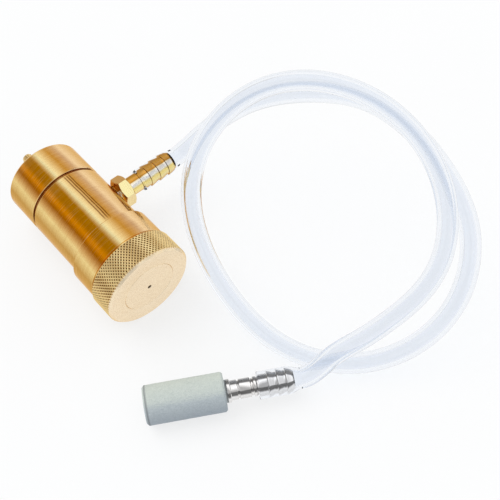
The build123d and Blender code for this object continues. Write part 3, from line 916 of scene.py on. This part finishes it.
def build_pin():
    """The push pin, with eight round grooves along its thin shaft."""
    shaft_r = 1.8
    groove_centre, groove_r, spacing = 1.9, 0.42, TAU / 8
    fade_start = -20.9
    body = soft([
        (11.0, 0.0), (11.0, shaft_r - 0.35), (10.65, shaft_r), (10.2, shaft_r),
        (-21.3, shaft_r), (-28.8, shaft_r), (-28.8, 2.5), (-56.8, 2.5), (-57.1, 2.2),
        (-57.1, 1.52), (-55.6, 1.52), (-55.58, 0.0)], radius=0.05, steps=2, closed=False)
    # rings where the grooves fade out go in after the start of both long runs of the shaft
    outline = []
    for (y, r), (next_y, _) in zip(body, body[1:]):
        outline.append((y, r))
        if abs(r - shaft_r) < 1e-6 and abs(y - next_y) > 3:
            outline += [(-20.4, shaft_r), (fade_start, shaft_r), (-21.1, shaft_r)]
    outline.append(body[-1])

    def cut_grooves(y, r, th):
        if y[0] > -21.2 and r[0] > 1.2:
            turn = (th + spacing / 2) % spacing - spacing / 2
            aside = groove_centre * np.sin(turn)
            chord = np.sqrt(np.maximum(groove_r ** 2 - aside * aside, 0))
            floor = np.where(np.abs(aside) < groove_r, groove_centre * np.cos(turn) - chord, 9.0)
            fade = np.clip((fade_start - y) / 0.3, 0, 1)
            r = np.minimum(r, floor + fade * 0.5)
        return y, r

    piece("pin", lathe(outline, ORIGIN, Y_AXIS, UP, 256, cut_grooves, closed=False),
          [PIN_BRASS], "pin", "push_pin", angle=28)


BRASS_BARBS = barbs(BRASS_CRESTS, root=2.9, crest=3.3, lead=0.40, flat=0.30, run=2.2)


def build_outlet():
    """The outlet fitting along +X: thread, hexagon and barbs. Outline points are (x, radius)."""
    thread_r, pitch = 3.95, 0.8
    thread_start, thread_end = 8.9, 14.35
    hex_start, hex_end, hex_r = 14.9, 18.9, 5.9
    half_flats, blunt_r = 5.0, 5.74
    insets = (0.0, 0.05, 0.12, 0.2, 0.3, 0.42, 0.56, 0.72)
    thread = ramped(thread_start, thread_end, thread_r, thread_r,
                    int((thread_end - thread_start) / (pitch / 12)))
    hexagon = [(hex_start, 3.6), (hex_start, 4.6)]
    hexagon += [(hex_start + inset, hex_r) for inset in insets]
    hexagon += [(hex_end - inset, hex_r) for inset in insets[::-1]] + [(hex_end, 4.6)]
    tail = [(hex_end, 3.3), (23.35, 3.3), (23.6, 3.05), (23.6, 2.9)] + BRASS_BARBS
    tail += [(37.0, 2.9), (38.0, 2.4), (38.0, 1.25), (12.0, 1.25), (12.0, 2.4), (8.42, 2.4),
             (8.42, 3.6), (8.75, thread_r)]
    outline = thread + [(14.5, 3.6)] + hexagon + soft(tail, radius=0.07, closed=False)

    def cut(x, r, th):
        if abs(r[0] - hex_r) < 1e-6:
            # angle 0 is on a corner, so a flat's middle is 30 degrees on
            flat = half_flats / np.cos(th % (TAU / 6) - TAU / 12)
            bevel = 4.90 + min(x[0] - hex_start, hex_end - x[0]) * 1.72
            r = np.minimum(np.minimum(flat, bevel), blunt_r)
        elif abs(r[0] - thread_r) < 1e-6 and 8.8 < x[0] < 14.4:
            start = np.clip((x - thread_start) / 0.4, 0, 1)
            r = thread_r - 0.45 * vee(x / pitch - th / TAU) * start
        return x, r

    def on_hexagon(centres):
        x = centres[:, 0]
        radius = np.hypot(centres[:, 1] - OUTLET_Y, centres[:, 2])
        return (x > hex_start - 0.05) & (x < hex_end + 0.05) & (radius > 4.5)

    corner = math.radians(2.7 + 30)     # a corner of the hexagon, from +Y towards +Z
    zero = (0, math.cos(corner), math.sin(corner))
    piece("outlet_fitting", lathe(outline, OUTLET_ORIGIN, X_AXIS, zero, 360, cut),
          [FITTING_BRASS, HEXAGON_BRASS], "tap", "outlet_barb",
          angle=24, pick=on_hexagon)


# =====================================================================
# stone and stem: outline points are (distance from the stone's centre, radius)
# =====================================================================
def stone_grain(point):
    """How far the surface stands out at a point, with a few pits."""
    q = Vector(point.tolist())
    grain = noise.fractal(q * 2.6, 0.9, 2.1, 4) * 0.030 + noise.noise(q * 0.55) * 0.030
    pit = max(0.0, noise.noise(q * 1.9 + Vector((7, 3, 1))) - 0.42) * -0.28
    return min(0.045, grain + pit - 0.012)


def build_stone():
    h, r = STONE_HALF, STONE_R
    outline = [(-h, radius) for radius in np.linspace(0.0, 5.5, 24)]
    outline += [(-h, 5.65)] + ramped(-h + 0.06, -h + 0.64, 5.71, 6.29, 4)
    outline += ramped(-h + 0.7, h - 0.55, r, r, 122)
    outline += ramped(h - 0.49, h - 0.06, 6.29, 5.86, 4) + [(h, 5.80)]
    outline += [(h, radius) for radius in np.linspace(5.65, 2.5, 16)]
    outline += [(h - 6.0, 2.5), (h - 6.0, 1.6), (-h + 5.0, 1.6), (-h + 5.0, 0.0)]
    verts, faces = lathe(outline, STONE_C, STEM_DIR, UP, 300, closed=False)
    for i, point in enumerate(verts):
        offset = point - STONE_C
        along = float(offset @ STEM_DIR)
        radial = offset - STEM_DIR * along
        radius = float(np.linalg.norm(radial))
        if radius < 2.7 and along > -h + 0.1:
            continue    # the bore stays smooth
        amount = stone_grain(point)
        if radius > 5.0:
            normal = radial / radius
            if along < -h + 0.65:
                normal = unit(normal * 0.7 - STEM_DIR * 0.7)
            elif along > h - 0.5:
                normal = unit(normal * 0.7 + STEM_DIR * 0.7)
        else:
            normal = STEM_DIR * (1 if along > 0 else -1)
            if along > h - 0.05:
                amount = min(amount, 0.0)   # nothing stands out into the gasket
        verts[i] = point + normal * amount
    piece("stone", (verts, faces), [STONE], "tap", "diffuser_stone", angle=75)


STEM_R = 3.2
STEEL_ROOT, STEEL_CREST = STEM_R - 0.25, 3.55


def build_stem():
    h = STONE_HALF
    neck_r, groove_r = STEM_R - 0.35, STEM_R - 0.45
    outline = [
        (h - 5.6, 1.2), (h - 5.6, 2.1), (h - 5.3, 2.45), (h + 0.46, 2.45), (h + 0.46, 3.6),
        (h + 0.66, 3.8), (14.3, 3.8), (14.5, 3.6), (14.5, STEM_R), (16.6, STEM_R),
        (16.8, neck_r), (17.1, neck_r), (17.3, STEM_R), (20.8, STEM_R), (21.0, groove_r),
        (21.6, groove_r), (21.8, STEM_R), (22.6, STEM_R), (22.9, STEEL_ROOT),
        (23.1, STEEL_ROOT)]
    outline += barbs(STEEL_CRESTS, STEEL_ROOT, STEEL_CREST, lead=0.45, flat=0.33, run=1.7)
    outline += [(33.6, STEM_R - 0.1), (34.6, 2.5), (34.6, 1.2)]
    piece("stem", lathe(soft(outline, radius=0.08), STONE_C, STEM_DIR, UP, 180),
          [STEM_STEEL], "tap", "stone_stem")


def build_stem_gasket():
    h = STONE_HALF
    outline = soft([(h + 0.01, 2.5), (h + 0.01, 3.6), (h + 0.45, 3.6), (h + 0.45, 2.5)])
    piece("stem_gasket", lathe(outline, STONE_C, STEM_DIR, UP, 96),
          [WASHER], "tap", "stem_washer")


# =====================================================================
# hose
# =====================================================================
HOSE_R, HOSE_BORE_R = 3.4, 2.0
# centre line of the free run, (x, y, z), from the outlet towards the stem
HOSE_POINTS = [
    (39.50, -24.00, 0.00), (49.82, -25.18, 4.21), (58.08, -28.52, 10.79),
    (65.33, -33.86, 17.45), (72.36, -40.89, 22.54), (79.26, -49.08, 25.87),
    (86.00, -57.92, 27.45), (91.43, -67.58, 27.13), (94.30, -78.21, 25.27),
    (94.82, -89.15, 22.97), (93.27, -99.99, 20.57), (89.92, -110.42, 18.22),
    (84.59, -119.77, 15.45), (77.14, -127.12, 11.51), (68.33, -131.62, 6.31),
    (58.92, -132.67, 0.47), (49.51, -130.40, -5.09), (40.56, -125.37, -9.40),
    (32.58, -118.08, -12.00), (26.17, -109.00, -12.55), (21.84, -98.77, -11.45),
    (19.63, -88.24, -8.60), (19.13, -77.91, -4.50), (19.94, -68.08, 0.60),
    (22.19, -58.99, 6.77), (26.24, -51.24, 13.71), (32.47, -45.71, 21.10),
    (40.61, -42.97, 28.23), (49.99, -43.22, 34.29), (59.80, -46.34, 38.63),
    (69.11, -52.06, 40.76), (77.10, -59.88, 40.70), (83.20, -69.11, 39.04),
    (87.08, -79.15, 36.15), (88.54, -89.49, 32.24), (87.42, -99.58, 27.50),
    (83.77, -108.72, 22.12), (77.82, -116.07, 16.22), (69.81, -120.79, 10.12),
    (60.06, -122.17, 4.95), (49.73, -121.07, 0.76), (39.25, -118.88, -2.53),
    (28.82, -116.31, -5.58)]

# each barb as the hose's bore follows it: (axial, radius)
BRASS_LINE = BRASS_BARBS + [(37.0, 2.9), (38.0, 2.4), (39.5, HOSE_BORE_R)]
STEEL_LINE = barbs(STEEL_CRESTS, STEEL_ROOT, STEEL_CREST, lead=0.45, flat=0.30, run=1.7)
STEEL_LINE += [(33.6, 3.1), (34.6, 2.5), (37.0, HOSE_BORE_R)]

# the hose's outside over each barb: it starts at edge with a rounded lip, has edge_r up to
# edge_end, full_r on the crests, then from last narrows from taper_r to its own size at free
BRASS_GRIP = dict(crests=BRASS_CRESTS, edge=24.0, lip=0.3, lip_drop=0.22, edge_end=25.2,
                  edge_r=4.05, full_r=4.15, last=35.4, taper_r=4.08, free=39.5)
STEEL_GRIP = dict(crests=STEEL_CRESTS, edge=23.2, lip=0.35, lip_drop=0.40, edge_end=24.6,
                  edge_r=4.44, full_r=4.5, last=32.6, taper_r=4.45, free=37.0)


def grip_radius(at, crests, edge, lip, lip_drop, edge_end, edge_r, full_r, last, taper_r, free):
    if at > last:
        t = (at - last) / (free - last)
        return taper_r + (HOSE_R - taper_r) * (t * t * (3 - 2 * t))
    radius = edge_r
    if at >= edge_end:
        # the wall sinks a little between crests
        distance = min(abs(at - (c - 0.15)) for c in crests)
        radius = full_r - 0.16 * (0.55 * min(1.0, distance / 1.6) ** 1.5)
    if at - edge < lip:
        rounding = math.sqrt(max(0.0, 1 - (1 - (at - edge) / lip) ** 2))
        radius -= lip_drop * (1 - rounding)
    return radius


def grip_sections(edge_rows, start, stop, line, grip):
    """(axial, outer radius, inner radius) along a barb, with rows on the barb's own corners."""
    axials, radii = zip(*line)
    places = edge_rows + [round(v, 2) for v in np.arange(start, stop, 0.25)]
    places += [round(v, 2) for v in axials if v < stop]
    return [(at, grip_radius(at, **grip), float(np.interp(at, axials, radii)) - 0.03)
            for at in sorted(set(places))]


def clamped_spline(points, start_tangent, end_tangent):
    """Cubic spline by chord length with given end tangents.

    Returns a function from chord distance to (position, tangent), and the whole distance.
    """
    P = np.array(points, float)
    h = np.linalg.norm(np.diff(P, axis=0), axis=1)
    count = len(P)
    matrix, right = np.zeros((count, count)), np.zeros((count, 3))
    matrix[0, 0] = matrix[-1, -1] = 1
    right[0], right[-1] = start_tangent, end_tangent
    for i in range(1, count - 1):
        matrix[i, i - 1:i + 2] = h[i], 2 * (h[i - 1] + h[i]), h[i - 1]
        right[i] = 3 * (h[i - 1] * (P[i + 1] - P[i]) / h[i] + h[i] * (P[i] - P[i - 1]) / h[i - 1])
    slopes = np.linalg.solve(matrix, right)
    knots = np.concatenate([[0], np.cumsum(h)])

    def at(distance):
        i = int(min(max(np.searchsorted(knots, distance) - 1, 0), count - 2))
        t = (distance - knots[i]) / h[i]
        a, b, da, db = P[i], P[i + 1], slopes[i] * h[i], slopes[i + 1] * h[i]
        position = ((2 * t ** 3 - 3 * t ** 2 + 1) * a + (t ** 3 - 2 * t ** 2 + t) * da
                    + (-2 * t ** 3 + 3 * t ** 2) * b + (t ** 3 - t ** 2) * db)
        tangent = ((6 * t ** 2 - 6 * t) * a + (3 * t ** 2 - 4 * t + 1) * da
                   + (-6 * t ** 2 + 6 * t) * b + (3 * t ** 2 - 2 * t) * db)
        return position, unit(tangent)

    return at, knots[-1]


def hose_stations():
    """(point, tangent, outer radius, inner radius) from the outlet to the stem."""
    stations = []
    for x, outer, inner in grip_sections([24.0, 24.04, 24.12, 24.25], 24.5, 39.5,
                                         BRASS_LINE, BRASS_GRIP):
        stations.append((np.array([x, OUTLET_Y, 0.0]), np.array([1.0, 0, 0]), outer, inner))
    end = STONE_C + STEM_DIR * STEEL_GRIP["free"]
    at, length = clamped_spline(HOSE_POINTS + [tuple(end)], X_AXIS, tuple(-STEM_DIR))
    steps = int(length / 1.1)
    for k in range(steps + 1):
        stations.append((*at(length * k / steps), HOSE_R, HOSE_BORE_R))
    for d, outer, inner in grip_sections([23.2, 23.22, 23.3, 23.4], 23.5, 36.8,
                                         STEEL_LINE, STEEL_GRIP)[::-1]:
        stations.append((STONE_C + STEM_DIR * d, -STEM_DIR, outer, inner))
    return stations


def on_barbs(centres):
    """Faces of the hose that grip either barb."""
    from_outlet = np.hypot(centres[:, 1] - OUTLET_Y, centres[:, 2])
    offset = centres - STONE_C
    along = offset @ STEM_DIR
    from_stem = np.linalg.norm(offset - along[:, None] * STEM_DIR, axis=1)
    return (((centres[:, 0] < 39.45) & (from_outlet < 5.0))
            | ((along < 36.95) & (along > 0) & (from_stem < 5.5)))


def build_hose():
    sides = 64
    angles = np.arange(sides) * TAU / sides
    across = np.array([0.0, 0.0, 1.0])      # carried along without twist
    outside, inside = [], []
    for point, tangent, outer, inner in hose_stations():
        across = unit(across - tangent * (across @ tangent))
        third = np.cross(tangent, across)
        ring = np.cos(angles)[:, None] * across + np.sin(angles)[:, None] * third
        outside.append(point + ring * outer)
        inside.append(point + ring * inner)
    rows = outside + inside[::-1]
    shape = np.concatenate(rows), tube_faces(len(rows), sides, loop=True)
    piece("hose_tube", shape, [HOSE, HOSE_GRIP], "tap", "air_hose",
          angle=40, pick=on_barbs)


# =====================================================================
# return spring
# =====================================================================
def build_spring():
    turns, wire_r, coil_r = 4.6, 0.35, 3.7
    start_y, end_y = -27.62, -20.02
    closed_turns, closed_pitch = 0.75, 0.72     # the tight coils at both ends
    closed_len = closed_turns * closed_pitch
    steps, sides = 300, 14
    angles = np.arange(sides) * TAU / sides
    rows = []
    for i in range(steps + 1):
        turn = i / steps * turns
        y = np.interp(turn, (0, closed_turns, turns - closed_turns, turns),
                      (start_y, start_y + closed_len, end_y - closed_len, end_y))
        sine, cosine = math.sin(turn * TAU), math.cos(turn * TAU)
        centre = np.array([sine * coil_r, y, cosine * coil_r])
        tangent = unit([cosine * coil_r, 0.25, -sine * coil_r])
        out = np.array([sine, 0, cosine])
        third = np.cross(tangent, out)
        ring = np.cos(angles)[:, None] * out + np.sin(angles)[:, None] * third
        rows.append(centre + wire_r * ring)
    verts = np.concatenate(rows + [rows[0].mean(0)[None], rows[-1].mean(0)[None]])
    faces = tube_faces(steps + 1, sides)
    last, cap = steps * sides, (steps + 1) * sides
    for k in range(sides):
        k1 = (k + 1) % sides
        faces += [(cap, k1, k), (cap + 1, last + k, last + k1)]
    ob = piece("spring_wire", (verts, faces), [WIRE_STEEL], "tap", "return_spring",
               angle=60)
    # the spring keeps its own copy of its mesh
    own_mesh(ob)


build_collar()
build_barrel()
build_knob()
build_knob_plug()
build_pin()
build_outlet()
build_stone()
build_stem()
build_stem_gasket()
build_hose()
build_spring()

# =====================================================================
# pieces that keep their CAD shape
# =====================================================================
FINISHES = {
    "socket_gasket": NYLON,
    "spigot_seal": NITRILE,
    "pin_seal_front": NITRILE,
    "pin_seal_rear": NITRILE,
    "outlet_seal": NYLON,
    "seal_spacer": INNER_BRASS,
    "gland_nut": INNER_BRASS,
    "stop_ring": WIRE_STEEL,
    "filter_disc": BRONZE,
    "flow_restrictor": WIRE_STEEL,
    "spring_seat": WIRE_STEEL,
    "thrust_ball": BALL_STEEL,
}
for node_name, finish in FINISHES.items():
    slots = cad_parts[node_name].data.materials
    slots.clear()
    slots.append(finish)
